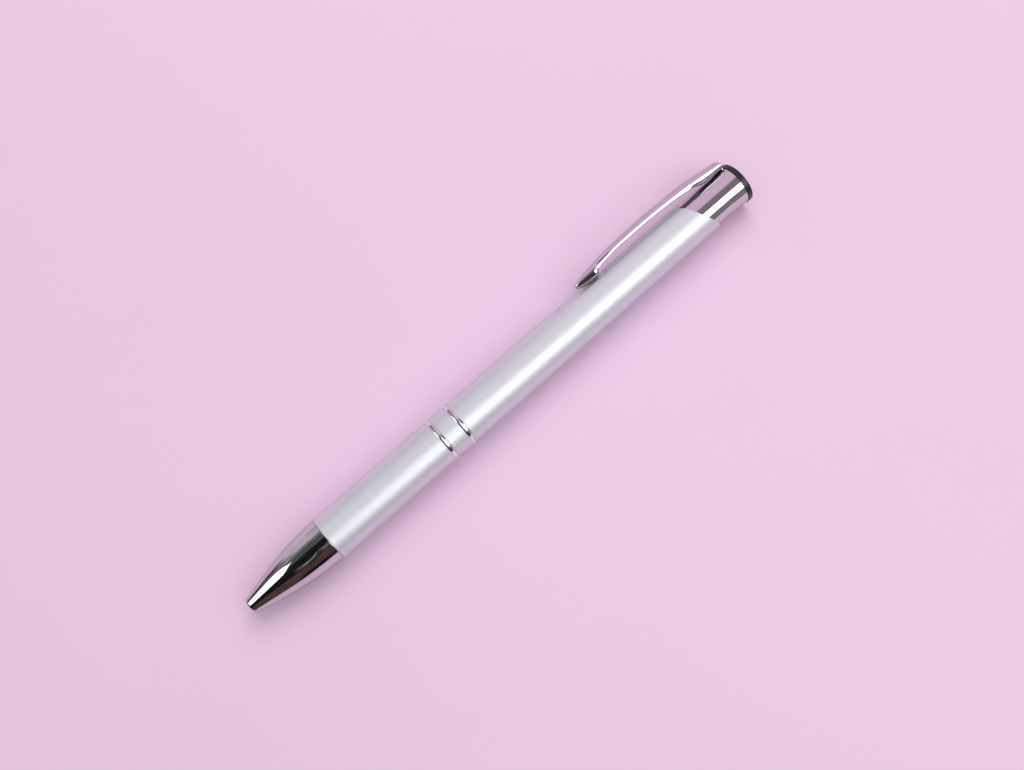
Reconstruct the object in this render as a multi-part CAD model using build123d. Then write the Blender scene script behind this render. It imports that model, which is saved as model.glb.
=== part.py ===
"""Retractable ballpoint pen, lying on its side.

Every piece is drawn in the pen's own frame and laid down at the end:
    x   along the pen, 0 at the front of the nose, rising towards the button
    +z  from the pen's centre line towards the clip
The laid pen has its length along X, its button towards +X and its clip on the +Y side. Its origin is the
bottom centre of its bounding box, so z = 0 is the surface that the barrel lies on. Millimetres.
"""

import os
from math import sqrt

from build123d import *

# overall
LENGTH = 140.5
BARREL_R = 5.15
CLIP_ABOVE_HORIZONTAL = 26.0  # degrees, how far the clip is rolled up from the surface
TRAVEL = 5.0  # how far the button, rotor and refill move
FIT = 0.03  # radial gap of a fixed fit
RUN = 0.07  # radial gap of a sliding fit
SEAM = 0.05  # gap where two outer pieces meet
EDGE = 0.12  # broken edge on turned pieces

# nose
NOSE_END = 21.0
NOSE_BORE_R = 1.25
NOSE_OGIVE = [(0.25, 1.85), (1.25, 2.06), (6.3, 3.3), (11.4, 4.33), (16.5, 4.89), (21.0, BARREL_R)]
NOSE_LIP_R = 1.65
SPRING_SEAT = 8.0
CHAMBER_R = 2.7
SPIGOT_END = 27.0
SPIGOT_R = 4.0
THREAD_RIDGES = 5
THREAD_PITCH = 0.9
THREAD_DEPTH = 0.25
THREAD_START = 22.2

# barrel
LOWER_END = 51.9
RING_WIDTH = 1.0
RING_EDGE_DROP = 0.1
BAND_WIDTH = 4.0
BAND_START = LOWER_END + RING_WIDTH
BAND_END = BAND_START + BAND_WIDTH
UPPER_START = BAND_END + RING_WIDTH
MOUTH_CLIP_SIDE = 125.25
MOUTH_FAR_SIDE = 130.75
MOUTH_R = 4.93
UPPER_FRONT_R = 5.13
LOWER_BORE_R = 4.45
GUIDE_BORE_R = 4.1
SLEEVE_BORE_START = 118.0
SLEEVE_BORE_R = 4.65
COUPLER_START = 44.0
COUPLER_END = 66.0
COUPLER_WALL = 0.4
COUPLER_STOP = 67.0
BUSHING_START = 21.4
BUSHING_END = 29.0

# flat recess in the upper barrel, under the clip's foot
RECESS_START = 87.0
RECESS_RAMP = 2.0
RECESS_END = 103.5
RECESS_FLOOR = 4.57

# click mechanism
GUIDE_START = 102.0
GUIDE_END = 117.5
GUIDE_INNER_R = 3.2
RIB_COUNT = 4
RIB_INNER_R = 2.65
RIB_ROOT_R = 3.5
RIB_WIDTH = 1.0
RIB_START = 106.9
RIB_END = 116.5
SPLINE_R = GUIDE_INNER_R - RUN
SPLINE_WIDTH = 1.1
ROTOR_START = 108.1
ROTOR_END = 112.0
ROTOR_R = 2.5
ROTOR_SPLINE_START = 108.4
ROTOR_SPLINE_END = 111.4
ROTOR_BORE_R = 1.2
CROWN_COUNT = 8
CROWN_HEIGHT = 0.9
CROWN_WIDTH = 1.1
CROWN_INNER_R = 1.75
CROWN_OUTER_R = 2.45
CORE_START = ROTOR_END + CROWN_HEIGHT + 0.1
CORE_SPLINE_END = 118.0
CORE_FLANGE = 123.6
CORE_END = 134.0
CORE_HOLLOW_START = 126.0
CORE_HOLLOW_R = 3.1

# plunger and cap
SLEEVE_START = 123.5
SLEEVE_R = SLEEVE_BORE_R - RUN
SLEEVE_INNER_R = 4.0
FLARE_START = 134.5
FLARE_R = 4.82
FLARE_SLOPE = 0.07
SLEEVE_END = 139.0
NOTCH_START = 138.15
NOTCH_HALF = 1.55
CAP_START = 139.05
CAP_R = 4.95
CAP_RIM = 0.25
CAP_DOME = 0.15
CAP_PLUG_START = 134.2
CAP_PLUG_BORE_R = 2.9
CAP_PLUG_FLOOR = 138.4

# clip stations: x, half width, low corner, underside, high corner, crown
CLIP_STATIONS = [
    (96.0, 0.5, 6.0, 5.6, 6.2, 6.5),
    (96.7, 0.82, 6.0, 5.2, 6.25, 6.72),
    (98.1, 1.25, 6.0, 4.85, 6.35, 6.95),
    (99.7, 1.7, 6.0, 4.72, 6.5, 7.15),
    (101.2, 2.0, 6.1, 4.76, 6.7, 7.34),
    (102.1, 1.8, 6.4, 5.7, 6.95, 7.5),
    (103.0, 1.7, 6.55, 6.45, 7.0, 7.65),
    (104.3, 1.7, 6.6, 6.55, 7.2, 7.8),
    (107.8, 1.75, 6.93, 6.9, 7.58, 7.97),
    (113.2, 1.8, 7.06, 7.03, 7.72, 8.13),
    (118.6, 1.85, 7.0, 6.97, 7.72, 8.2),
    (124.1, 1.9, 6.75, 6.72, 7.55, 8.1),
    (127.8, 1.92, 6.38, 6.34, 7.35, 7.95),
    (129.7, 1.95, 6.15, 6.1, 7.2, 7.85),
    (131.0, 2.0, 5.85, 5.7, 7.05, 7.7),
    (132.4, 2.0, 5.45, 5.2, 6.9, 7.5),
    (133.4, 2.0, 5.2, 5.0, 6.8, 7.35),
    (136.0, 2.0, 5.1, 4.97, 6.5, 7.05),
    (138.9, 1.95, 5.05, 4.97, 6.2, 6.75),
]
CHANNEL_START = 105.0
CHANNEL_END = 130.5
CLIP_WALL = 0.5
CLIP_SADDLE_GAP = 0.12
TONGUE_START = 138.35
TONGUE_END = 138.8
TONGUE_HALF = 1.35
TONGUE_INNER = 4.12
TONGUE_OUTER = 5.4

# refill
BALL_R = 0.35
BALL_X = 2.35
SOCKET_R = 0.37
TIP_FRONT = 2.2
TIP_FRONT_R = 0.43
TIP_CONE_END = 5.5
TIP_R = NOSE_BORE_R - RUN
TIP_CHANNEL_R = 0.22
TIP_WELL_START = 4.2
TIP_WELL_R = 0.6
TUBE_START = 13.5
TUBE_R = 1.6
TUBE_BORE_R = 1.35
TUBE_END = 104.0
TIP_END = 16.5
EAR_START = 27.0
EAR_THICKNESS = 0.8
EAR_R = 2.3
INK_START = 16.6
INK_END = 88.0
PLUG_SPIGOT_START = 100.0
PLUG_END = 108.0
PLUG_VENT_R = 0.4

# return spring
WIRE_R = 0.18
COIL_R = 2.1
COILS = 12

ABOUT_AXIS = 360.0


def turned(*outline):
    """A solid of revolution about the pen's centre line from (x, radius) points."""
    return revolve(make_face(Polyline(*outline, close=True)), Axis.X)


def rod(start, end, radius):
    """A plain round rod along the pen."""
    return turned((start, 0), (end, 0), (end, radius), (start, radius))


def tube(start, end, outer, inner, edge=0.0):
    """A round tube along the pen, its outer corners broken by edge."""
    if not edge:
        return turned((start, inner), (end, inner), (end, outer), (start, outer))
    return turned(
        (start, inner),
        (end, inner),
        (end, outer - edge),
        (end - edge, outer),
        (start + edge, outer),
        (start, outer - edge),
    )


def block(start, end, half_width, low, high):
    """A block along the pen, on its clip side."""
    size = (end - start, 2 * half_width, high - low)
    return Pos((start + end) / 2, 0, (low + high) / 2) * Box(*size)


def spread(piece, count, first=0.0):
    """Copies of a piece, evenly spaced around the centre line."""
    turns = [first + ABOUT_AXIS * k / count for k in range(count)]
    return [Rot(turn, 0, 0) * piece for turn in turns]


def joined(body, pieces):
    """One solid from a body and the pieces that grow out of it."""
    for piece in pieces:
        body += piece
    return body


def crown_tooth(base, tip):
    """One wedge of a toothed crown, from its base plane to its tip."""
    half = CROWN_WIDTH / 2
    wedge = make_face(Polyline((base, -half), (tip, 0), (base, half), close=True))
    return extrude(Pos(0, 0, CROWN_INNER_R) * wedge, CROWN_OUTER_R - CROWN_INNER_R)


def nose_cone():
    ogive = Spline(*NOSE_OGIVE)
    rest = Polyline(
        NOSE_OGIVE[-1],
        (NOSE_END, SPIGOT_R),
        (SPIGOT_END - EDGE, SPIGOT_R),
        (SPIGOT_END, SPIGOT_R - EDGE),
        (SPIGOT_END, CHAMBER_R),
        (SPRING_SEAT, CHAMBER_R),
        (SPRING_SEAT, NOSE_BORE_R),
        (0, NOSE_BORE_R),
        (0, NOSE_LIP_R),
        NOSE_OGIVE[0],
    )
    nose = revolve(make_face(ogive + rest), Axis.X)
    for ridge in range(THREAD_RIDGES):
        middle = THREAD_START + ridge * THREAD_PITCH
        nose -= turned(
            (middle, SPIGOT_R - THREAD_DEPTH),
            (middle + THREAD_PITCH / 2, SPIGOT_R + THREAD_DEPTH),
            (middle - THREAD_PITCH / 2, SPIGOT_R + THREAD_DEPTH),
        )
    return nose


def front_bushing():
    return tube(BUSHING_START, BUSHING_END, LOWER_BORE_R - FIT, SPIGOT_R + RUN)


def lower_barrel():
    return tube(NOSE_END + SEAM, LOWER_END, BARREL_R, LOWER_BORE_R, EDGE)


def trim_ring(start):
    """A narrow ring with a rounded crown, flush with the barrel."""
    end = start + RING_WIDTH
    edge_r = BARREL_R - RING_EDGE_DROP
    crown = ThreePointArc((start, edge_r), (start + RING_WIDTH / 2, BARREL_R), (end, edge_r))
    seat = Polyline((end, edge_r), (end, LOWER_BORE_R), (start, LOWER_BORE_R), (start, edge_r))
    return revolve(make_face(crown + seat), Axis.X)


def centre_band():
    return tube(BAND_START, BAND_END, BARREL_R, LOWER_BORE_R, EDGE)


def centre_coupler():
    outer = LOWER_BORE_R - FIT
    return tube(COUPLER_START, COUPLER_END, outer, outer - COUPLER_WALL, EDGE)


def upper_barrel():
    shell = turned(
        (UPPER_START, LOWER_BORE_R),
        (COUPLER_STOP, LOWER_BORE_R),
        (COUPLER_STOP, GUIDE_BORE_R),
        (SLEEVE_BORE_START, GUIDE_BORE_R),
        (SLEEVE_BORE_START, SLEEVE_BORE_R),
        (MOUTH_FAR_SIDE, SLEEVE_BORE_R),
        (MOUTH_FAR_SIDE, MOUTH_R),
        (UPPER_START + EDGE, UPPER_FRONT_R),
        (UPPER_START, UPPER_FRONT_R - EDGE),
    )
    reach = 2 * BARREL_R
    slant = (MOUTH_FAR_SIDE - MOUTH_CLIP_SIDE) / (2 * MOUTH_R)
    waste = Polyline(
        (MOUTH_CLIP_SIDE + slant * (MOUTH_R - reach), reach),
        (MOUTH_CLIP_SIDE + slant * (MOUTH_R + reach), -reach),
        (MOUTH_FAR_SIDE + reach, -reach),
        (MOUTH_FAR_SIDE + reach, reach),
        close=True,
    )
    side = Plane((0, -reach, 0), x_dir=(1, 0, 0), z_dir=(0, -1, 0))
    shell -= extrude(side * make_face(waste), 2 * reach, both=False, dir=(0, 1, 0))
    recess = Polyline(
        (RECESS_START, BARREL_R),
        (RECESS_START + RECESS_RAMP, RECESS_FLOOR),
        (RECESS_END, RECESS_FLOOR),
        (RECESS_END, BARREL_R),
        close=True,
    )
    shell -= extrude(side * make_face(recess), 2 * reach, both=False, dir=(0, 1, 0))
    return shell


def cam_guide():
    guide = tube(GUIDE_START, GUIDE_END, GUIDE_BORE_R - FIT, GUIDE_INNER_R)
    rib = block(RIB_START, RIB_END, RIB_WIDTH / 2, RIB_INNER_R, RIB_ROOT_R)
    return joined(guide, spread(rib, RIB_COUNT, ABOUT_AXIS / RIB_COUNT / 2))


def splines(start, end):
    """Four guide splines that slide between the ribs of the cam guide."""
    spline = block(start, end, SPLINE_WIDTH / 2, ROTOR_R / 2, SPLINE_R)
    trim = rod(start, end, SPLINE_R)
    return [fin & trim for fin in spread(spline, RIB_COUNT)]


def rotor():
    hub = tube(ROTOR_START, ROTOR_END, ROTOR_R, ROTOR_BORE_R, EDGE)
    hub = joined(hub, splines(ROTOR_SPLINE_START, ROTOR_SPLINE_END))
    hub -= rod(ROTOR_START, ROTOR_END, ROTOR_BORE_R)
    tooth = crown_tooth(ROTOR_END - EDGE, ROTOR_END + CROWN_HEIGHT)
    return joined(hub, spread(tooth, CROWN_COUNT))


def plunger_core():
    outer = SLEEVE_INNER_R - FIT
    core = turned(
        (CORE_START, 0),
        (CORE_HOLLOW_START, 0),
        (CORE_HOLLOW_START, CORE_HOLLOW_R),
        (CORE_END, CORE_HOLLOW_R),
        (CORE_END, outer),
        (CORE_FLANGE, outer),
        (CORE_FLANGE, ROTOR_R),
        (CORE_START, ROTOR_R),
    )
    core = joined(core, splines(CORE_START + EDGE, CORE_SPLINE_END))
    tooth = crown_tooth(CORE_START + EDGE, CORE_START - CROWN_HEIGHT)
    return joined(core, spread(tooth, CROWN_COUNT, ABOUT_AXIS / CROWN_COUNT / 2))


def plunger_sleeve():
    flare = Spline((FLARE_START, SLEEVE_R), (SLEEVE_END, FLARE_R), tangents=[(1, 0), (1, FLARE_SLOPE)])
    rest = Polyline(
        (SLEEVE_END, FLARE_R),
        (SLEEVE_END, SLEEVE_INNER_R),
        (SLEEVE_START, SLEEVE_INNER_R),
        (SLEEVE_START, SLEEVE_R - EDGE),
        (SLEEVE_START + EDGE, SLEEVE_R),
        (FLARE_START, SLEEVE_R),
    )
    sleeve = revolve(make_face(flare + rest), Axis.X)
    return sleeve - block(NOTCH_START, LENGTH, NOTCH_HALF, SLEEVE_INNER_R / 2, 2 * SLEEVE_R)


def button_cap():
    outer = SLEEVE_INNER_R - FIT
    rim = LENGTH - CAP_DOME
    corner = CAP_R - CAP_RIM
    edge = ThreePointArc(
        (rim - CAP_RIM, CAP_R),
        (rim - CAP_RIM * (1 - sqrt(0.5)), corner + CAP_RIM * sqrt(0.5)),
        (rim, corner),
    )
    dome = Spline((rim, corner), (LENGTH, 0), tangents=[(CAP_DOME, -corner), (0, -1)])
    rest = Polyline(
        (LENGTH, 0),
        (CAP_PLUG_FLOOR, 0),
        (CAP_PLUG_FLOOR, CAP_PLUG_BORE_R),
        (CAP_PLUG_START, CAP_PLUG_BORE_R),
        (CAP_PLUG_START, outer),
        (CAP_START, outer),
        (CAP_START, CAP_R),
        (rim - CAP_RIM, CAP_R),
    )
    return revolve(make_face(edge + dome + rest), Axis.X)


def clip_section(x, half_width, low, under, high, crown):
    """The clip's cross-section at x: straight sides, a rounded crown and a rounded underside."""
    across = Plane((x, 0, 0), x_dir=(0, 1, 0), z_dir=(1, 0, 0))
    top = ThreePointArc((half_width, high), (0, crown), (-half_width, high))
    near = Line((-half_width, high), (-half_width, low))
    bottom = ThreePointArc((-half_width, low), (0, under), (half_width, low))
    far = Line((half_width, low), (half_width, high))
    return across * make_face(top + near + bottom + far)


def channel_section(x, half_width, low, under, high, crown):
    """The hollow in the clip's underside at x, one wall's thickness inside its section."""
    drop = 2 * CLIP_WALL
    inside = (half_width - CLIP_WALL, low - drop, under - drop, high - CLIP_WALL / 2, crown - CLIP_WALL)
    return clip_section(x, *inside)


def clip():
    blade = loft([clip_section(*station) for station in CLIP_STATIONS])
    hollow = loft([channel_section(*station) for station in CLIP_STATIONS if station[0] > CHANNEL_START])
    blade -= hollow & block(CHANNEL_START, CHANNEL_END, 2 * SLEEVE_R, 0, 2 * SLEEVE_R)
    blade -= tube(FLARE_START - TRAVEL, LENGTH, FLARE_R + CLIP_SADDLE_GAP, 0)
    return blade + block(TONGUE_START, TONGUE_END, TONGUE_HALF, TONGUE_INNER, TONGUE_OUTER)


def refill_tip():
    tip = turned(
        (TIP_FRONT, 0),
        (TIP_END, 0),
        (TIP_END, TUBE_BORE_R - FIT),
        (TUBE_START - EDGE, TUBE_BORE_R - FIT),
        (TUBE_START - EDGE, TIP_R),
        (TIP_CONE_END, TIP_R),
        (TIP_FRONT, TIP_FRONT_R),
    )
    tip -= Pos(BALL_X, 0, 0) * Sphere(SOCKET_R)
    tip -= rod(BALL_X, TIP_WELL_START, TIP_CHANNEL_R)
    return tip - rod(TIP_WELL_START, TIP_END, TIP_WELL_R)


def writing_ball():
    return Pos(BALL_X, 0, 0) * Sphere(BALL_R)


def refill_tube():
    body = tube(TUBE_START, TUBE_END, TUBE_R, TUBE_BORE_R)
    return body + tube(EAR_START, EAR_START + EAR_THICKNESS, EAR_R, TUBE_BORE_R, EDGE)


def refill_ink():
    return rod(INK_START, INK_END, TUBE_BORE_R - FIT)


def refill_end_plug():
    plug = turned(
        (PLUG_SPIGOT_START, 0),
        (PLUG_END, 0),
        (PLUG_END, TUBE_R - EDGE),
        (PLUG_END - EDGE, TUBE_R),
        (TUBE_END + SEAM, TUBE_R),
        (TUBE_END + SEAM, TUBE_BORE_R - FIT),
        (PLUG_SPIGOT_START, TUBE_BORE_R - FIT),
    )
    return plug - rod(PLUG_SPIGOT_START, PLUG_END, PLUG_VENT_R)


def return_spring():
    start = SPRING_SEAT + WIRE_R + SEAM
    height = EAR_START - SEAM - WIRE_R - start
    coil = Helix(height / COILS, height, COIL_R)
    wire = Plane(coil @ 0, z_dir=coil % 0) * Circle(WIRE_R)
    return Pos(start, 0, 0) * (Rot(0, 90, 0) * sweep(wire, coil))


PIECES = {
    "nose_cone": nose_cone,
    "front_bushing": front_bushing,
    "lower_barrel": lower_barrel,
    "front_ring": lambda: trim_ring(LOWER_END),
    "centre_band": centre_band,
    "rear_ring": lambda: trim_ring(BAND_END),
    "centre_coupler": centre_coupler,
    "upper_barrel": upper_barrel,
    "cam_guide": cam_guide,
    "rotor": rotor,
    "plunger_core": plunger_core,
    "plunger_sleeve": plunger_sleeve,
    "button_cap": button_cap,
    "clip": clip,
    "refill_tip": refill_tip,
    "writing_ball": writing_ball,
    "refill_tube": refill_tube,
    "refill_ink": refill_ink,
    "refill_end_plug": refill_end_plug,
    "return_spring": return_spring,
}

roll = Rot(CLIP_ABOVE_HORIZONTAL - 90, 0, 0)
rolled = {name: roll * make() for name, make in PIECES.items()}
box = Compound(children=[Compound(piece.wrapped) for piece in rolled.values()]).bounding_box()
lay = Pos(-(box.min.X + box.max.X) / 2, -(box.min.Y + box.max.Y) / 2, -box.min.Z)

os.makedirs("parts", exist_ok=True)
for name, piece in rolled.items():
    export_step(lay * piece, f"parts/{name}.step")
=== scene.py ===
"""Looks for a retractable ballpoint pen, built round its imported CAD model."""

from math import ceil, cos, hypot, pi, radians, sin, sqrt

import bpy
from mathutils import Matrix, Vector


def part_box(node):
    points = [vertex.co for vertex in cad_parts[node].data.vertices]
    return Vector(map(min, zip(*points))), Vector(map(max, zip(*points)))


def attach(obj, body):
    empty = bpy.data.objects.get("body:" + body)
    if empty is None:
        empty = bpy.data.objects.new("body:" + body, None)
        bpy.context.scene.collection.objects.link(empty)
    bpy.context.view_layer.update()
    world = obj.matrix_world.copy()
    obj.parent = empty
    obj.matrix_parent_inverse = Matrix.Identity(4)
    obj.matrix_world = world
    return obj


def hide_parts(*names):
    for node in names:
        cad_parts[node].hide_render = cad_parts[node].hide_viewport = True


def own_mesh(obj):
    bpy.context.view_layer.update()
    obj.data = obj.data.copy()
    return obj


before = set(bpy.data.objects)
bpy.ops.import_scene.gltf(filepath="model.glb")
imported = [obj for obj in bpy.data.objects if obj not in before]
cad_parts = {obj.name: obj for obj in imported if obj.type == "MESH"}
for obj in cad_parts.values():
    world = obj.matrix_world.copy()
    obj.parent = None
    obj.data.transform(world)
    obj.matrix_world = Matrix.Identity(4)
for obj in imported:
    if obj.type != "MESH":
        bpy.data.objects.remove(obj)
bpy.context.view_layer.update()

MM = 0.001

# The pen's own frame, in mm: x along its centre line from the front of the nose, z towards its clip.
NOSE_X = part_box("nose_cone")[0].x
barrel_low, barrel_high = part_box("lower_barrel")
AXIS_Y = (barrel_low[1] + barrel_high[1]) / 2
AXIS_Z = (barrel_low[2] + barrel_high[2]) / 2
CLIP_RISE = radians(26)  # how far the clip is rolled up from the floor
CLIP_WAY = (cos(CLIP_RISE), sin(CLIP_RISE))
SIDE_WAY = (sin(CLIP_RISE), -cos(CLIP_RISE))


def place(x, y, z):
    """A point of the pen's frame as a place in the scene."""
    return (
        NOSE_X + x * MM,
        AXIS_Y + (y * SIDE_WAY[0] + z * CLIP_WAY[0]) * MM,
        AXIS_Z + (y * SIDE_WAY[1] + z * CLIP_WAY[1]) * MM,
    )


def reach(node):
    """Where a CAD node starts and ends along the pen."""
    return [round((corner.x - NOSE_X) / MM, 3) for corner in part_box(node)]


# ---------------------------------------------------------------- materials

MOTTLE = 12  # how many times broader the colour's mottling is than the grain
EVEN = (1, 1, 1)


class Nodes:
    """Short calls for building one node tree."""

    def __init__(self, tree):
        self.tree = tree
        tree.nodes.clear()

    def add(self, kind, **settings):
        """A new node with its settings."""
        node = self.tree.nodes.new(kind)
        for key, value in settings.items():
            setattr(node, key, value)
        return node

    def link(self, out, into):
        """Join an output to an input."""
        self.tree.links.new(out, into)

    def feed(self, socket, value):
        """Give an input either a number or another node's output."""
        if isinstance(value, bpy.types.NodeSocket):
            self.link(value, socket)
        else:
            socket.default_value = value

    def math(self, operation, *values):
        """The result of one sum."""
        node = self.add("ShaderNodeMath", operation=operation)
        for socket, value in zip(node.inputs, values):
            self.feed(socket, value)
        return node.outputs[0]

    def noise(self, scale, detail=2.0, roughness=0.5, stretch=EVEN):
        """Cloudy noise from 0 to 1, fixed to the object."""
        coordinates = self.add("ShaderNodeTexCoord")
        mapping = self.add("ShaderNodeMapping")
        mapping.inputs["Scale"].default_value = stretch
        self.link(coordinates.outputs["Object"], mapping.inputs["Vector"])
        node = self.add("ShaderNodeTexNoise")
        self.link(mapping.outputs["Vector"], node.inputs["Vector"])
        node.inputs["Scale"].default_value = scale
        node.inputs["Detail"].default_value = detail
        node.inputs["Roughness"].default_value = roughness
        return node.outputs["Fac"]

    def ramp(self, value, *stops):
        """A colour for a value, from (position, colour) stops."""
        node = self.add("ShaderNodeValToRGB")
        while len(node.color_ramp.elements) < len(stops):
            node.color_ramp.elements.new(0.5)
        for element, (position, colour) in zip(node.color_ramp.elements, stops):
            element.position = position
            element.color = (*colour, 1)
        self.link(value, node.inputs["Fac"])
        return node.outputs["Color"]

    def span(self, value, low, high, out_low, out_high):
        """A value carried from one range to another, and held inside it."""
        node = self.add("ShaderNodeMapRange")
        for key, number in (("From Min", low), ("From Max", high), ("To Min", out_low), ("To Max", out_high)):
            node.inputs[key].default_value = number
        self.link(value, node.inputs["Value"])
        return node.outputs["Result"]


def material(name, metallic, colours, roughness, grain, bump=0.0, stretch=EVEN, **sockets):
    """A Principled material with a mottled colour, a varying roughness and a fine bump.

    colours and roughness are (low, high) pairs, grain is (scale per metre, detail) and bump is in metres."""
    made = bpy.data.materials.new(name)
    made.use_nodes = True
    n = Nodes(made.node_tree)
    shader = n.add("ShaderNodeBsdfPrincipled")
    out = n.add("ShaderNodeOutputMaterial")
    n.link(shader.outputs[0], out.inputs["Surface"])
    shader.inputs["Metallic"].default_value = metallic
    for key, value in sockets.items():
        shader.inputs[key.replace("_", " ")].default_value = value
    scale, detail = grain
    broad = n.noise(scale / MOTTLE, stretch=stretch)
    fine = n.noise(scale, detail, 0.6, stretch)
    n.link(n.ramp(broad, (0.3, colours[0]), (0.7, colours[1])), shader.inputs["Base Color"])
    n.link(n.span(fine, 0.25, 0.75, *roughness), shader.inputs["Roughness"])
    if bump:
        node = n.add("ShaderNodeBump")
        node.inputs["Strength"].default_value = 1.0
        node.inputs["Distance"].default_value = bump
        n.link(fine, node.inputs["Height"])
        n.link(node.outputs["Normal"], shader.inputs["Normal"])
    return made


CHROME = [(0.65, 0.63, 0.66), (0.69, 0.67, 0.70)]
EDGE_TINT = (0.72, 0.7, 0.73, 1)
finishes = {
    "chrome": material("chrome_finish", 1.0, CHROME, (0.03, 0.05), (900, 2), Specular_Tint=EDGE_TINT),
    "clip_chrome": material(
        "clip_chrome_finish", 1.0, CHROME, (0.05, 0.08), (900, 2), bump=2e-6, Specular_Tint=EDGE_TINT
    ),
    # The clip's underside: rougher chrome whose colour is darkened to about half, as painted shade under the
    # clip.
    "clip_underside_shaded": material(
        "clip_underside_rough_painted_shade", 1.0, [(0.3, 0.29, 0.31), (0.38, 0.37, 0.39)], (0.3, 0.42), (2500, 3), bump=3e-6
    ),
    "trim_chrome": material(
        "trim_chrome_finish", 1.0, [(0.86, 0.84, 0.87), (0.9, 0.88, 0.91)], (0.13, 0.18), (900, 2)
    ),
    "satin": material(
        "satin_silver",
        0.68,
        [(0.80, 0.83, 0.875), (0.83, 0.86, 0.905)],
        (0.46, 0.54),
        (9000, 3),
        bump=4e-6,
        # The dark pink Specular_Tint darkens the satin's grazing edges: painted shade.
        Specular_Tint=(0.33, 0.25, 0.33, 1),
        Coat_Weight=0.4,
        Coat_Roughness=0.12,
    ),
    "black": material(
        "black_plastic", 0.0, [(0.012, 0.011, 0.014), (0.018, 0.016, 0.02)], (0.28, 0.4), (3000, 3), bump=5e-6
    ),
    "brass": material(
        "turned_brass",
        1.0,
        [(0.72, 0.53, 0.24), (0.80, 0.62, 0.32)],
        (0.18, 0.32),
        (2500, 3),
        bump=3e-6,
        stretch=(8, 1, 1),
    ),
    "steel": material(
        "drawn_steel", 1.0, [(0.52, 0.52, 0.54), (0.62, 0.62, 0.64)], (0.18, 0.3), (3000, 3), bump=3e-6
    ),
    "white_pom": material(
        "white_moulding", 0.0, [(0.76, 0.76, 0.73), (0.83, 0.83, 0.81)], (0.35, 0.5), (2500, 3), bump=6e-6
    ),
    "black_pom": material(
        "black_moulding", 0.0, [(0.03, 0.03, 0.033), (0.05, 0.05, 0.055)], (0.35, 0.5), (2500, 3), bump=6e-6
    ),
    "milky": material(
        "milky_tube", 0.0, [(0.74, 0.77, 0.80), (0.80, 0.82, 0.85)], (0.2, 0.3), (1800, 2), bump=2e-6
    ),
    "blue": material(
        "blue_moulding", 0.0, [(0.03, 0.05, 0.30), (0.05, 0.08, 0.38)], (0.3, 0.45), (2500, 2), bump=4e-6
    ),
    "ink": material("blue_ink", 0.0, [(0.01, 0.015, 0.14), (0.02, 0.03, 0.2)], (0.1, 0.2), (1200, 2)),
}

NODE_FINISH = {
    "nose_cone": "chrome",
    "front_ring": "trim_chrome",
    "rear_ring": "trim_chrome",
    "plunger_sleeve": "chrome",
    "clip": "clip_chrome",
    "lower_barrel": "satin",
    "upper_barrel": "satin",
    "centre_band": "satin",
    "button_cap": "black",
    "front_bushing": "brass",
    "centre_coupler": "brass",
    "refill_tip": "brass",
    "writing_ball": "steel",
    "return_spring": "steel",
    "cam_guide": "white_pom",
    "plunger_core": "white_pom",
    "rotor": "black_pom",
    "refill_tube": "milky",
    "refill_end_plug": "blue",
    "refill_ink": "ink",
}
for node, finish in NODE_FINISH.items():
    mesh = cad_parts[node].data
    mesh.materials.clear()
    mesh.materials.append(finishes[finish])

# ---------------------------------------------------------------- how meshes are made

TURNS = 240  # steps round a turned piece
SUPPORT = 0.04  # how far from a rounded corner its support points stand
HAIR = 0.02  # gap that keeps touching faces apart


def keep(name, points, faces, node, body, slot):
    """A smooth mesh of pen-frame points that stands for a CAD node."""
    mesh = bpy.data.meshes.new(name)
    mesh.from_pydata([place(*point) for point in points], [], faces)
    mesh.polygons.foreach_set("use_smooth", [True] * len(mesh.polygons))
    mesh.materials.append(finishes[NODE_FINISH[node]])
    made = bpy.data.objects.new(name, mesh)
    bpy.context.scene.collection.objects.link(made)
    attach(made, body)
    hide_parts(node)
    return made


def corner_points(before, here, after, steps=6):
    """The points of one rounded corner, with support points on both sides of its arc."""
    arms = []
    for other in (before, after):
        dx, dr = other[0] - here[0], other[1] - here[1]
        length = hypot(dx, dr)
        arms.append((dx / length, dr / length))
    a, b = arms
    bend = (1 - (a[0] * b[0] + a[1] * b[1])) / 2
    cut = here[2] / sqrt(bend) * sqrt(1 - bend)
    points = [(here[0] + a[0] * away, here[1] + a[1] * away) for away in (cut + SUPPORT, cut)]
    for part in range(1, steps):
        t = part / steps
        u, w = (1 - t) ** 2, t**2
        points.append(tuple(here[i] + (a[i] * u + b[i] * w) * cut for i in (0, 1)))
    points += [(here[0] + b[0] * away, here[1] + b[1] * away) for away in (cut, cut + SUPPORT)]
    return points


def rounded(outline, step=4.0):
    """A closed loop through (x, r, corner radius) points, with no stretch longer than step along x."""
    loop = []
    for k, here in enumerate(outline):
        if here[2]:
            loop += corner_points(outline[k - 1], here, outline[(k + 1) % len(outline)])
        else:
            loop.append(here[:2])
    full = []
    for k, start in enumerate(loop):
        end = loop[(k + 1) % len(loop)]
        pieces = max(1, ceil(abs(end[0] - start[0]) / step))
        for part in range(pieces):
            t = part / pieces
            full.append((start[0] + (end[0] - start[0]) * t, start[1] + (end[1] - start[1]) * t))
    return full


def arc(middle, radii, start, end, steps):
    """Outline points along part of an ellipse, from one angle to another."""
    points = []
    for k in range(steps + 1):
        angle = start + (end - start) * k / steps
        points.append((middle[0] + radii[0] * cos(angle), middle[1] + radii[1] * sin(angle), 0))
    return points


def plain_point(x, r, angle):
    """A point turned about the centre line, counted from the clip's side."""
    return (x, r * sin(angle), r * cos(angle))


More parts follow.
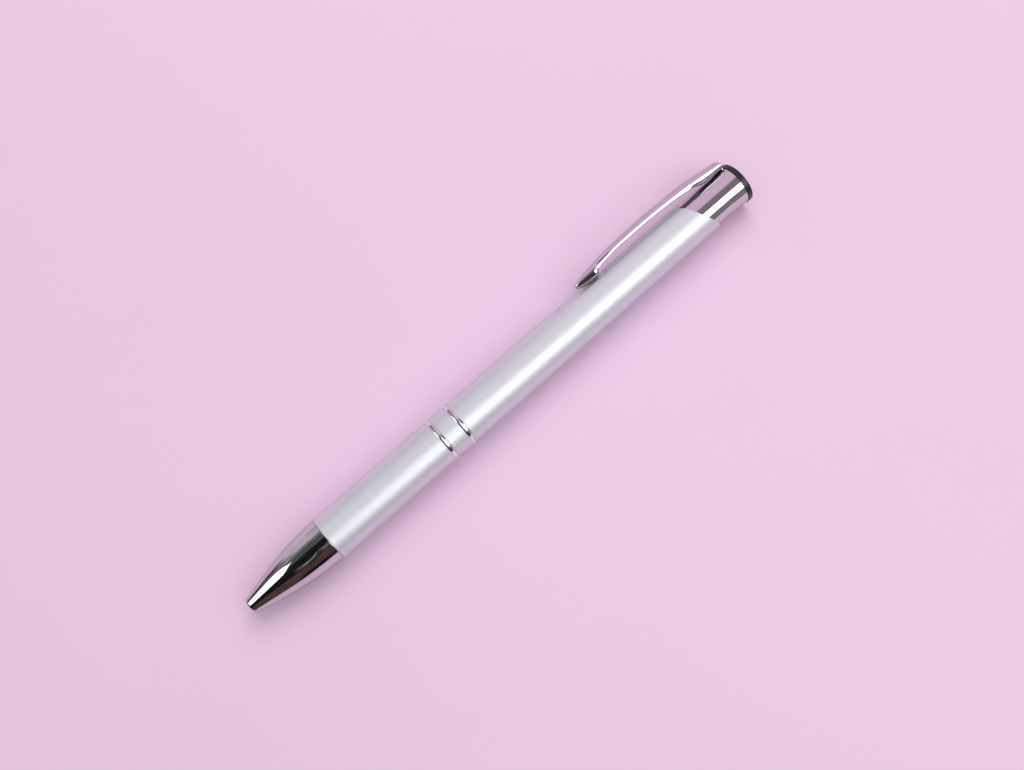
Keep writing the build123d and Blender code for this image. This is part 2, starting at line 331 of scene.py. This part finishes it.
def turned(name, loop, node, body, slot, shape=plain_point, solid=False):
    """A closed (x, r) loop turned about the centre line, or an open one whose two ends meet that line."""
    points = [shape(x, r, 2 * pi * k / TURNS) for k in range(TURNS) for x, r in loop]
    rows = len(loop)
    faces = []
    for k in range(TURNS):
        here, there = k * rows, (k + 1) % TURNS * rows
        for row in range(rows - 1 if solid else rows):
            up = (row + 1) % rows
            faces.append((here + row, here + up, there + up, there + row))
    if solid:
        for row, turn in ((0, 1), (rows - 1, -1)):
            points.append((loop[row][0], 0, 0))
            edge = [k * rows + row for k in range(TURNS)]
            for k in range(TURNS):
                faces.append((len(points) - 1, edge[k], edge[(k + 1) % TURNS])[::turn])
    keep(name, points, faces, node, body, slot)


def smooth(stations, x):
    """The values of a station table at x, by cubic interpolation between its rows."""
    k = 0
    while k < len(stations) - 2 and stations[k + 1][0] < x:
        k += 1
    low, high = stations[k], stations[k + 1]
    width = high[0] - low[0]
    t = (x - low[0]) / width
    before = stations[max(k - 1, 0)]
    after = stations[min(k + 2, len(stations) - 1)]
    values = []
    for i in range(1, len(low)):
        slope_low = (high[i] - before[i]) / (high[0] - before[0]) * width
        slope_high = (after[i] - low[i]) / (after[0] - low[0]) * width
        rise = high[i] - low[i]
        square = 3 * rise - 2 * slope_low - slope_high
        cube = slope_low + slope_high - 2 * rise
        values.append(low[i] + t * slope_low + t**2 * square + t**3 * cube)
    return values


# ---------------------------------------------------------------- nose

BARREL_R = 5.15
NOSE_FRONT, SPIGOT_END = reach("nose_cone")
LOWER_START, LOWER_END = reach("lower_barrel")
NOSE_END = LOWER_START - 0.05
NOSE_CURVE = [(0.25, 1.85), (1.25, 2.06), (6.3, 3.3), (11.4, 4.33), (16.5, 4.89), (NOSE_END, BARREL_R)]
LIP_R = 1.65
TIP_BORE_R = 1.25
CHAMBER_START = 8.0
CHAMBER_R = 2.7
SPIGOT_R = 4.0
THREAD_START = 22.2
THREAD_PITCH = 0.9
THREAD_RIDGES = 5
GROOVE_HALF = 0.22
GROOVE_DEPTH = 0.24


def make_nose():
    """The chrome nose, with a thread behind it and the spring's chamber inside."""
    outline = [(NOSE_FRONT, TIP_BORE_R, 0.08), (NOSE_FRONT, LIP_R, 0.1)]
    first, last = NOSE_CURVE[0][0], NOSE_END - 0.08
    steps = 60
    for k in range(steps + 1):
        x = first + (last - first) * k / steps
        outline.append((x, smooth(NOSE_CURVE, x)[0], 0))
    outline += [(NOSE_END - 0.04, BARREL_R - 0.003, 0), (NOSE_END, BARREL_R - 0.05, 0)]
    outline.append((NOSE_END, SPIGOT_R, 0.03))
    for ridge in range(THREAD_RIDGES):
        middle = THREAD_START + ridge * THREAD_PITCH
        outline += [
            (middle - GROOVE_HALF, SPIGOT_R, 0.03),
            (middle, SPIGOT_R - GROOVE_DEPTH, 0.03),
            (middle + GROOVE_HALF, SPIGOT_R, 0.03),
        ]
    outline += [(SPIGOT_END, SPIGOT_R, 0.12), (SPIGOT_END, CHAMBER_R, 0.08)]
    outline += [(CHAMBER_START, CHAMBER_R, 0.05), (CHAMBER_START, TIP_BORE_R, 0.08)]
    turned("nose_shell", rounded(outline), "nose_cone", "nose", "nose_chrome")


# ---------------------------------------------------------------- lower barrel, band and rings

BORE_R = 4.45
RING_SHOULDER_R = 5.0
RING_CROWN = (0.48, 0.12)  # the crown's reach along the pen and outwards


def tube_outline(start, end):
    """A plain tube of the barrel's size with broken edges."""
    return rounded([(start, BORE_R, 0.05), (start, BARREL_R, 0.1), (end, BARREL_R, 0.1), (end, BORE_R, 0.05)])


def make_lower_barrel():
    """The satin tube between the nose and the front ring."""
    outline = tube_outline(LOWER_START, LOWER_END)
    turned("lower_barrel_shell", outline, "lower_barrel", "barrel", "barrel_satin")


def make_centre_band():
    """The short satin tube between the two rings."""
    start, end = reach("centre_band")
    outline = tube_outline(start + HAIR, end - HAIR)
    turned("centre_band_shell", outline, "centre_band", "barrel", "band_satin")


def make_ring(node):
    """A chrome ring whose outer face is a low rounded crown."""
    start, end = reach(node)
    middle = ((start + end) / 2, BARREL_R - RING_CROWN[1])
    outline = [(start, BORE_R, 0), (start, RING_SHOULDER_R, 0)]
    outline += arc(middle, RING_CROWN, pi, 0, 16)
    outline += [(end, RING_SHOULDER_R, 0), (end, BORE_R, 0)]
    turned(node + "_shell", rounded(outline), node, "barrel", "trim_chrome")


# ---------------------------------------------------------------- upper barrel

UPPER_START, MOUTH_FAR_SIDE = reach("upper_barrel")
UPPER_FRONT_R = 5.13
MOUTH_R = 4.93
MOUTH_CLIP_SIDE = 125.25
MOUTH_DIP = 1.2  # how far the mouth's edge curls forward on the clip's side
DIP_HEIGHT = 4.1  # how high above the centre line that curl begins
RECESS_START = 87.0
RECESS_RAMP_END = 89.0
RECESS_END = 103.5
RECESS_FLOOR = 4.57
COUPLER_STOP = 67.0
GUIDE_BORE_R = 4.1
SLEEVE_BORE_START = 118.0
SLEEVE_BORE_R = 4.65


def barrel_point(x, r, angle):
    """A turned point, moved to suit the slanted mouth and the flat recess cut into the clip's side."""
    y, z = r * sin(angle), r * cos(angle)
    if x > SLEEVE_BORE_START:
        slant = (MOUTH_FAR_SIDE - MOUTH_CLIP_SIDE) / (2 * MOUTH_R)
        curl = max(0.0, (z - DIP_HEIGHT) / (MOUTH_R - DIP_HEIGHT))
        end = MOUTH_CLIP_SIDE + slant * (MOUTH_R - z) - MOUTH_DIP * curl**2
        share = (x - SLEEVE_BORE_START) / (MOUTH_FAR_SIDE - SLEEVE_BORE_START)
        x = SLEEVE_BORE_START + share * (end - SLEEVE_BORE_START)
    if r > RECESS_FLOOR and RECESS_START < x < RECESS_END:
        ramp = min(1.0, (x - RECESS_START) / (RECESS_RAMP_END - RECESS_START))
        z = min(z, BARREL_R + (RECESS_FLOOR - BARREL_R) * ramp)
    return (x, y, z)


def make_upper_barrel():
    """The upper barrel, with its rows close together along the recess."""
    front = UPPER_START + HAIR
    first, last, steps = RECESS_START - 1.0, RECESS_END + 0.5, 150
    rows = [first + (last - first) * k / steps for k in range(steps + 1)]
    rows += [RECESS_END - 0.01, RECESS_END + 0.01, SLEEVE_BORE_START]
    taper = (MOUTH_R - UPPER_FRONT_R) / (MOUTH_FAR_SIDE - front)
    outline = [(front, BORE_R, 0.05), (front, UPPER_FRONT_R, 0.1)]
    outline += [(x, UPPER_FRONT_R + taper * (x - front), 0) for x in sorted(rows)]
    outline += [
        (MOUTH_FAR_SIDE, MOUTH_R, 0.1),
        (MOUTH_FAR_SIDE, SLEEVE_BORE_R, 0.06),
        (SLEEVE_BORE_START + HAIR, SLEEVE_BORE_R, 0),
        (SLEEVE_BORE_START, GUIDE_BORE_R, 0),
        (COUPLER_STOP, GUIDE_BORE_R, 0),
        (COUPLER_STOP, BORE_R, 0),
    ]
    loop = rounded(outline, 2.0)
    turned("upper_barrel_shell", loop, "upper_barrel", "barrel", "barrel_satin", barrel_point)


# ---------------------------------------------------------------- plunger and cap

SLEEVE_START, SLEEVE_END = reach("plunger_sleeve")
SLEEVE_R = 4.58
SLEEVE_INNER_R = 4.0
FLARE_START = 134.5
FLARE_R = 4.82
RIM_START = 137.0
NOTCH_START = 138.15
NOTCH_HALF = 1.55


def sleeve_point(x, r, angle):
    """A turned point, drawn forward where the rear rim is notched for the clip's tongue."""
    turn = min(angle, 2 * pi - angle)
    if x > RIM_START and r * sin(min(turn, pi / 2)) < NOTCH_HALF:
        x = RIM_START + (x - RIM_START) * (NOTCH_START - RIM_START) / (SLEEVE_END - RIM_START)
    return plain_point(x, r, angle)


def make_plunger():
    """The chrome sleeve, which widens towards its rear rim."""
    outline = [(SLEEVE_START, SLEEVE_INNER_R, 0.08), (SLEEVE_START, SLEEVE_R, 0.1)]
    outline.append((FLARE_START, SLEEVE_R, 0))
    steps = 20
    for k in range(1, steps):
        t = k / steps
        x = FLARE_START + (SLEEVE_END - FLARE_START) * t
        outline.append((x, SLEEVE_R + (FLARE_R - SLEEVE_R) * t**1.3, 0))
    outline += [(SLEEVE_END, FLARE_R, 0.06), (SLEEVE_END, SLEEVE_INNER_R, 0.05)]
    turned("plunger_shell", rounded(outline), "plunger_sleeve", "button", "plunger_chrome", sleeve_point)


CAP_PLUG_START, CAP_END = reach("button_cap")
CAP_PLUG_R = 3.97
CAP_PLUG_BORE_R = 2.9
CAP_PLUG_FLOOR = 138.4
CAP_BACK = SLEEVE_END + 0.05
CAP_R = 4.95
CAP_ROUND = 0.25
CAP_DOME = 0.15


def make_cap():
    """The black cap: a domed disc with a hollow plug that goes into the sleeve."""
    outline = [(CAP_PLUG_FLOOR, 0.4, 0), (CAP_PLUG_FLOOR, CAP_PLUG_BORE_R, 0.05)]
    outline += [(CAP_PLUG_START, CAP_PLUG_BORE_R, 0.05), (CAP_PLUG_START, CAP_PLUG_R, 0.1)]
    outline += [(CAP_BACK, CAP_PLUG_R, 0.02), (CAP_BACK, CAP_R, 0.06)]
    face_r = CAP_R - CAP_ROUND
    outline += arc((CAP_END - CAP_DOME - CAP_ROUND, face_r), (CAP_ROUND, CAP_ROUND), pi / 2, 0, 12)
    steps = 12
    for k in range(1, steps):
        t = 1 - k / steps
        outline.append((CAP_END - CAP_DOME * t * t, face_r * t, 0))
    turned("button_cap_shell", rounded(outline), "button_cap", "button", "black_plastic", solid=True)


# ---------------------------------------------------------------- clip

# x, half width, low corner, underside, high corner, crown
CLIP = [
    (96.0, 0.5, 6.1, 5.6, 6.2, 6.5),
    (96.7, 0.82, 6.15, 5.2, 6.25, 6.72),
    (98.1, 1.25, 6.2, 4.85, 6.35, 6.95),
    (99.7, 1.7, 6.3, 4.72, 6.5, 7.15),
    (101.0, 2.02, 6.4, 4.74, 6.65, 7.32),
    (101.6, 2.02, 6.5, 5.0, 6.8, 7.4),
    (102.1, 1.8, 6.55, 5.9, 6.95, 7.5),
    (102.8, 1.7, 6.5, 6.4, 7.0, 7.62),
    (104.3, 1.7, 6.6, 6.55, 7.15, 7.8),
    (107.8, 1.75, 6.93, 6.9, 7.58, 7.97),
    (113.2, 1.8, 7.06, 7.03, 7.72, 8.13),
    (118.6, 1.85, 7.0, 6.97, 7.72, 8.2),
    (124.1, 1.9, 6.75, 6.72, 7.55, 8.1),
    (127.8, 1.92, 6.38, 6.34, 7.35, 7.95),
    (129.7, 1.95, 6.15, 6.1, 7.2, 7.85),
    (131.0, 2.0, 6.1, 5.75, 7.05, 7.7),
    (132.4, 2.0, 6.0, 5.2, 6.9, 7.5),
    (133.4, 2.0, 5.9, 5.0, 6.8, 7.35),
    (136.0, 2.0, 5.6, 4.97, 6.5, 7.05),
    (138.9, 1.95, 5.4, 4.97, 6.2, 6.75),
]
CLIP_START = 96.0
CLIP_END = 138.45
END_ROUND = 0.45
CLIP_MIDDLE = 115.0
CLIP_WALL = 0.62
CHANNEL_START = 102.2
CHANNEL_START_RAMP = 1.4
CHANNEL_END = 131.4
CHANNEL_END_RAMP = 2.2
SADDLE_START = 130.2
SADDLE_R = 4.94
FINE_UNTIL = 105.0
FINE_FROM = 129.0
TOP_STEPS = 32
# UNDERSIDE faces take the darker, rougher underside finish: painted shade.
UNDERSIDE = (39, 71)  # the ring points that face the barrel
TONGUE = ((138.35, -1.35, 4.12), (138.8, 1.35, 5.4))


def channel_line(half, low, high, crown):
    """The clip's underside where it is a channel: a rounded rim, a wall, an arched ceiling, and back."""
    inner = half - min(CLIP_WALL, half / 2)
    rim = (half - inner) / 2
    ceiling, shoulder = crown - CLIP_WALL, high - CLIP_WALL / 2
    line = []
    for k in range(9):
        angle = pi * k / 8
        line.append((-half + rim - rim * cos(angle), low + rim - rim * sin(angle)))
    for k in range(1, 6):
        line.append((-inner, low + rim + (shoulder - low - rim) * k / 6))
    for k in range(9):
        across = inner * (k / 8 - 1)
        arch = sqrt(max(0.0, 1 - (across / inner) ** 2))
        line.append((across, shoulder + (ceiling - shoulder) * arch))
    return line + [(-y, z) for y, z in reversed(line[:-1])]


def hull_line(x, half, low, under, count):
    """The clip's underside where it is solid: a rounded hull, squarer at the root than at the foot."""
    root = x > CLIP_MIDDLE
    square = 0.65 if root else 0.85
    line = []
    for k in range(count):
        angle = pi * k / (count - 1)
        depth = sin(angle) ** square
        lean = 1 - 0.2 * depth if root else 1
        side = 1 if k < count / 2 else -1
        line.append((-half * lean * abs(cos(angle)) ** square * side, low - (low - under) * depth))
    return line


def clip_ring(x):
    """The (y, z) points round the clip at x: an arched top, and below it the hull, the channel or a blend."""
    half, low, under, high, crown = smooth(CLIP, x)
    ring = []
    for k in range(TOP_STEPS + 1):
        angle = pi * k / TOP_STEPS
        ring.append((half * cos(angle), high + (crown - high) * sin(angle) ** 0.8))
    channel = channel_line(half, low, high, crown)
    hull = hull_line(x, half, low, under, len(channel))
    opening = min((x - CHANNEL_START) / CHANNEL_START_RAMP, (CHANNEL_END - x) / CHANNEL_END_RAMP)
    opening = min(1.0, max(0.0, opening))
    share = opening * opening * (3 - 2 * opening)
    for (hull_y, hull_z), (y, z) in zip(hull, channel):
        ring.append((hull_y + (y - hull_y) * share, hull_z + (z - hull_z) * share))
    if x > SADDLE_START:
        ring = [(y, max(z, sqrt(SADDLE_R**2 - y * y))) for y, z in ring]
    return ring


def shrunk(ring, by):
    """A ring drawn in towards its middle."""
    low, high = min(z for y, z in ring), max(z for y, z in ring)
    wide = max(y for y, z in ring)
    middle = (low + high) / 2
    tall = (high - low) / 2
    return [(y * (1 - by / wide), middle + (z - middle) * (1 - by / tall)) for y, z in ring]


def make_clip():
    """The clip's strip, whose underside is rougher and darkened with painted shade, and the tongue that hooks
    into the sleeve.
    """
    blunt = ((0.16, 0.3), (0.13, 0.2), (0.07, 0.08))
    rings = [(CLIP_START - before, shrunk(clip_ring(CLIP_START), by)) for before, by in blunt]
    x = CLIP_START
    while x < CLIP_END + 0.01:
        rings.append((x, clip_ring(x)))
        x += 0.1 if x < FINE_UNTIL or x > FINE_FROM else 0.25
    steps = 8
    for k in range(1, steps + 1):
        angle = pi / 2 * k / steps
        ring = shrunk(clip_ring(CLIP_END), END_ROUND * (1 - cos(angle)))
        rings.append((CLIP_END + END_ROUND * sin(angle), ring))
    count = len(rings[0][1])
    points = [(x, y, z) for x, ring in rings for y, z in ring]
    faces = [tuple(range(count)), tuple(range(len(points) - 1, len(points) - count - 1, -1))]
    ends = len(faces)
    for k in range(len(rings) - 1):
        for i in range(count):
            a, b = k * count + i, k * count + (i + 1) % count
            faces.append((a, a + count, b + count, b))
    strip = keep("clip_strip", points, faces, "clip", "clip", "clip_chrome")
    # The faces towards the barrel get the darker, rougher finish: painted shade under the clip.
    strip.data.materials.append(finishes["clip_underside_shaded"])
    for polygon in strip.data.polygons:
        row = (polygon.index - ends) % count
        polygon.material_index = int(polygon.index >= ends and UNDERSIDE[0] <= row < UNDERSIDE[1])
    keep("clip_tongue", *bevelled_box(*TONGUE, 0.08), "clip", "clip", "clip_chrome")


def bevelled_box(low, high, bevel):
    """A box along the pen's frame with bevelled edges, as four loops with closed ends."""
    points = []
    for z, inset in ((low[2], bevel), (low[2] + bevel, 0), (high[2] - bevel, 0), (high[2], bevel)):
        x0, x1, y0, y1 = low[0] + inset, high[0] - inset, low[1] + inset, high[1] - inset
        points += [(x0 + bevel, y0, z), (x1 - bevel, y0, z), (x1, y0 + bevel, z), (x1, y1 - bevel, z)]
        points += [(x1 - bevel, y1, z), (x0 + bevel, y1, z), (x0, y1 - bevel, z), (x0, y0 + bevel, z)]
    sides = 8
    faces = [tuple(range(sides - 1, -1, -1)), tuple(range(len(points) - sides, len(points)))]
    for k in range(len(points) // sides - 1):
        for i in range(sides):
            a, b = k * sides + i, k * sides + (i + 1) % sides
            faces.append((a, b, b + sides, a + sides))
    return points, faces


# ---------------------------------------------------------------- spring

SPRING_START = 8.05
SPRING_END = 26.95
COIL_R = 2.1
WIRE_R = 0.18
COILS = 12.0
CLOSED_COILS = 1.1  # at each end


def coil_x(turn):
    """How far along the pen the wire's centre is after so many turns."""
    pitch = 2 * WIRE_R + 0.01
    start, end = SPRING_START + WIRE_R, SPRING_END - WIRE_R
    if turn < CLOSED_COILS:
        return start + pitch * turn
    if turn > COILS - CLOSED_COILS:
        return end - pitch * (COILS - turn)
    share = (turn - CLOSED_COILS) / (COILS - 2 * CLOSED_COILS)
    return start + pitch * CLOSED_COILS + (end - start - 2 * pitch * CLOSED_COILS) * share


def make_spring():
    """The return spring: closed coils at each end and open ones between."""
    steps, sides = 720, 14
    points, faces = [], []
    for k in range(steps + 1):
        turn = COILS * k / steps
        angle = 2 * pi * turn
        for side in range(sides):
            way = 2 * pi * side / sides
            points.append(plain_point(coil_x(turn) + WIRE_R * sin(way), COIL_R + WIRE_R * cos(way), angle))
    for k in range(steps):
        for side in range(sides):
            a, b = k * sides + side, k * sides + (side + 1) % sides
            faces.append((a, b, b + sides, a + sides))
    faces += [tuple(range(sides - 1, -1, -1)), tuple(range(steps * sides, (steps + 1) * sides))]
    made = keep("return_spring_coil", points, faces, "return_spring", "barrel", "spring_steel")
    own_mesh(made)


make_nose()
make_lower_barrel()
make_centre_band()
make_ring("front_ring")
make_ring("rear_ring")
make_upper_barrel()
make_plunger()
make_cap()
make_clip()
make_spring()

# ---------------------------------------------------------------- floor, light and camera

FLOOR_HALF = 1.5  # metres
LIGHT_SIDE = 0.7  # metres


def floor_material():
    """Pale pink card, slightly mottled, with a very fine tooth."""
    made = bpy.data.materials.new("pale_pink_card")
    made.use_nodes = True
    n = Nodes(made.node_tree)
    shader = n.add("ShaderNodeBsdfPrincipled")
    out = n.add("ShaderNodeOutputMaterial")
    n.link(shader.outputs[0], out.inputs["Surface"])
    broad = n.noise(6, 3)
    fine = n.noise(1500, 2)
    n.link(n.ramp(broad, (0.3, (0.80, 0.58, 0.76)), (0.7, (0.82, 0.60, 0.78))), shader.inputs["Base Color"])
    n.link(n.span(fine, 0.3, 0.7, 0.5, 0.6), shader.inputs["Roughness"])
    bump = n.add("ShaderNodeBump")
    bump.inputs["Distance"].default_value = 1e-5
    n.link(fine, bump.inputs["Height"])
    n.link(bump.outputs["Normal"], shader.inputs["Normal"])
    shader.inputs["Specular IOR Level"].default_value = 0.3
    return made


def make_floor():
    """The flat floor that the pen lies on."""
    mesh = bpy.data.meshes.new("floor")
    corners = [(x * FLOOR_HALF, y * FLOOR_HALF, 0) for x, y in ((-1, -1), (1, -1), (1, 1), (-1, 1))]
    mesh.from_pydata(corners, [], [(0, 1, 2, 3)])
    floor = bpy.data.objects.new("floor", mesh)
    bpy.context.scene.collection.objects.link(floor)
    mesh.materials.append(floor_material())


def soft_light(name, spot, watts, colour):
    """A square area light aimed at the middle of the pen, which isn't itself seen in the chrome."""
    data = bpy.data.lights.new(name, "AREA")
    data.shape = "SQUARE"
    data.size = LIGHT_SIDE
    data.energy = watts
    data.color = colour
    lamp = bpy.data.objects.new(name, data)
    lamp.location = spot
    lamp.rotation_mode = "QUATERNION"
    lamp.rotation_quaternion = (-Vector(spot)).to_track_quat("-Z", "Y")
    lamp.visible_glossy = False
    bpy.context.scene.collection.objects.link(lamp)


class Room(Nodes):
    """The studio that shiny pieces reflect, laid out round the pen's length.

    angle, in degrees, runs from straight up and rises towards the clip's side, and along is the share of a
    direction that points from the nose to the button."""

    def __init__(self, tree):
        super().__init__(tree)
        split = self.add("ShaderNodeSeparateXYZ")
        self.link(self.add("ShaderNodeTexCoord").outputs["Generated"], split.inputs[0])
        self.along, across, self.height = split.outputs
        self.angle = self.math("MULTIPLY", self.math("ARCTAN2", across, self.height), 180 / pi)

    def step(self, value, edge, width):
        """From 0 to 1 as a value passes an edge that is itself a number."""
        return self.span(value, edge - width, edge + width, 0.0, 1.0)

    def rise(self, value, edge, width):
        """From 0 to 1 as a value passes an edge that varies."""
        return self.step(self.math("SUBTRACT", value, edge), 0.0, width)

    def window(self, low, high, start, end, edge, ends):
        """1 inside a window between two angles and two places along the pen, with soft borders."""
        above = self.rise(self.angle, low, edge)
        below = self.math("SUBTRACT", 1.0, self.rise(self.angle, high, edge))
        length = self.math("MULTIPLY", self.step(self.along, start, ends), self.step(self.along, end, -ends))
        return self.math("MULTIPLY", self.math("MULTIPLY", above, below), length)

    def walls(self, turn, *stops):
        """The room's colour, from (angle, colour) stops."""
        spread = self.span(turn, -100, 100, 0, 1)
        return self.ramp(spread, *[((angle + 100) / 200, colour) for angle, colour in stops])

    def blend(self, share, first, second):
        """The first colour where share is 0, and the second where it is 1."""
        node = self.add("ShaderNodeMix", data_type="RGBA")
        self.link(share, node.inputs["Factor"])
        self.link(first, node.inputs[6])
        self.link(second, node.inputs[7])
        return node.outputs[2]


DARK, SLATE, GREY = (0.01, 0.01, 0.012), (0.1, 0.1, 0.105), (0.23, 0.22, 0.235)
MIST, STREAK, PALE = (0.4, 0.4, 0.41), (0.4, 0.38, 0.4), (0.6, 0.56, 0.6)
BROWN, RUST, DUSK, PINK = (0.06, 0.035, 0.033), (0.13, 0.075, 0.065), (0.1, 0.08, 0.09), (0.84, 0.58, 0.76)


def room_colours(n):
    """The dim room: streaked and brown before the nose, plain over the barrels and pink behind the button."""
    streaks = n.noise(4.0, 3.0, 0.6, (1.5, 1, 1))
    bent = n.math("ADD", n.angle, n.span(streaks, 0.3, 0.7, -13.0, 13.0))
    fore = n.walls(
        bent,
        (-85, BROWN),
        (-72, RUST),
        (-60, BROWN),
        (-48, RUST),
        (-38, DARK),
        (5, DARK),
        (60, GREY),
        (75, BROWN),
    )
    middle = n.walls(
        bent,
        (-78, DARK),
        (-68, RUST),
        (-58, BROWN),
        (-48, RUST),
        (-38, DARK),
        (-28, RUST),
        (-25, DARK),
        (-22, STREAK),
        (-18, DARK),
        (8, DARK),
        (14, SLATE),
        (30, SLATE),
        (36, GREY),
        (50, GREY),
        (58, PALE),
    )
    body = n.walls(
        n.angle,
        (-70, BROWN),
        (-32, BROWN),
        (-14, DARK),
        (6, DARK),
        (12, MIST),
        (32, MIST),
        (48, GREY),
        (70, DUSK),
    )
    rear = n.walls(n.angle, (-20, GREY), (9, GREY), (20, PINK), (66, PINK), (80, PALE))
    shade = n.blend(n.step(n.along, 0.18, 0.04), body, rear)
    shade = n.blend(n.step(n.along, -0.1, 0.05), middle, shade)
    return n.blend(n.step(n.along, -0.33, 0.06), fore, shade)


def room_windows(n):
    """How bright the room's windows are: one along the pen, and one before the nose on the clip's side."""
    main_low = n.span(n.along, -0.22, 0.02, -23.0, -55.0)
    waist = n.math("MULTIPLY", n.step(n.along, -0.02, 0.06), n.step(n.along, 0.14, -0.04))
    main_high = n.span(waist, 0.0, 1.0, -22.0, 3.0)
    main = n.window(main_low, main_high, -0.06, 0.85, 1.5, 0.1)
    front_low = n.span(n.along, -0.47, -0.36, 8.0, 26.0)
    front_high = n.span(n.along, -0.47, -0.36, 55.0, 32.0)
    front = n.window(front_low, front_high, -0.75, -0.35, 1.5, 0.03)
    return n.math("MULTIPLY", n.math("MAXIMUM", main, front), 3.8)


def make_world():
    """A plain pale studio for what is lit, a dim room with bright windows for reflections, and a backdrop."""
    world = bpy.data.worlds.new("studio")
    bpy.context.scene.world = world
    world.use_nodes = True
    n = Room(world.node_tree)
    plain = n.add("ShaderNodeBackground")
    plain.inputs["Color"].default_value = (0.97, 0.93, 0.96, 1)
    n.link(n.span(n.height, 0.0, 1.0, 0.08, 0.66), plain.inputs["Strength"])
    backdrop = n.add("ShaderNodeBackground")
    backdrop.inputs["Color"].default_value = (0.90, 0.80, 0.88, 1)
    backdrop.inputs["Strength"].default_value = 0.9
    walls = n.add("ShaderNodeBackground")
    n.link(room_colours(n), walls.inputs["Color"])
    windows = n.add("ShaderNodeBackground")
    n.link(room_windows(n), windows.inputs["Strength"])
    reflected = n.add("ShaderNodeAddShader")
    n.link(walls.outputs[0], reflected.inputs[0])
    n.link(windows.outputs[0], reflected.inputs[1])
    path = n.add("ShaderNodeLightPath")
    seen = plain.outputs[0]
    for ray, shown in (("Is Glossy Ray", reflected), ("Is Camera Ray", backdrop)):
        mix = n.add("ShaderNodeMixShader")
        n.link(path.outputs[ray], mix.inputs["Fac"])
        n.link(seen, mix.inputs[1])
        n.link(shown.outputs[0], mix.inputs[2])
        seen = mix.outputs[0]
    out = n.add("ShaderNodeOutputWorld")
    n.link(seen, out.inputs["Surface"])


def make_camera():
    """The camera, nearly overhead and looking at a point just past the middle of the pen."""
    azimuth, elevation, roll = radians(-44.179), radians(77.868), radians(2.349)
    target = Vector((NOSE_X + 71.66 * MM, AXIS_Y - 1.067 * MM, AXIS_Z))
    distance = 258.547 * MM
    back = Vector((sin(azimuth) * cos(elevation), -cos(azimuth) * cos(elevation), sin(elevation)))
    level = Vector((cos(azimuth), sin(azimuth), 0))
    right = level * cos(roll) + back.cross(level) * sin(roll)
    up = back.cross(right)
    data = bpy.data.cameras.new("camera")
    data.sensor_width = 36
    data.lens = 42.1875
    data.clip_start = 0.01
    camera = bpy.data.objects.new("camera", data)
    axes = Matrix((right, up, back)).transposed().to_4x4()
    camera.matrix_world = Matrix.Translation(target + back * distance) @ axes
    bpy.context.scene.collection.objects.link(camera)
    bpy.context.scene.camera = camera


make_floor()
make_world()
soft_light("key", (0.3, 0.35, 0.75), 4.0, (1.0, 0.98, 1.0))
soft_light("fill", (0.15, -0.37, 0.7), 1.81, (1.0, 0.97, 1.0))
make_camera()
bpy.context.scene.view_settings.view_transform = "Standard"
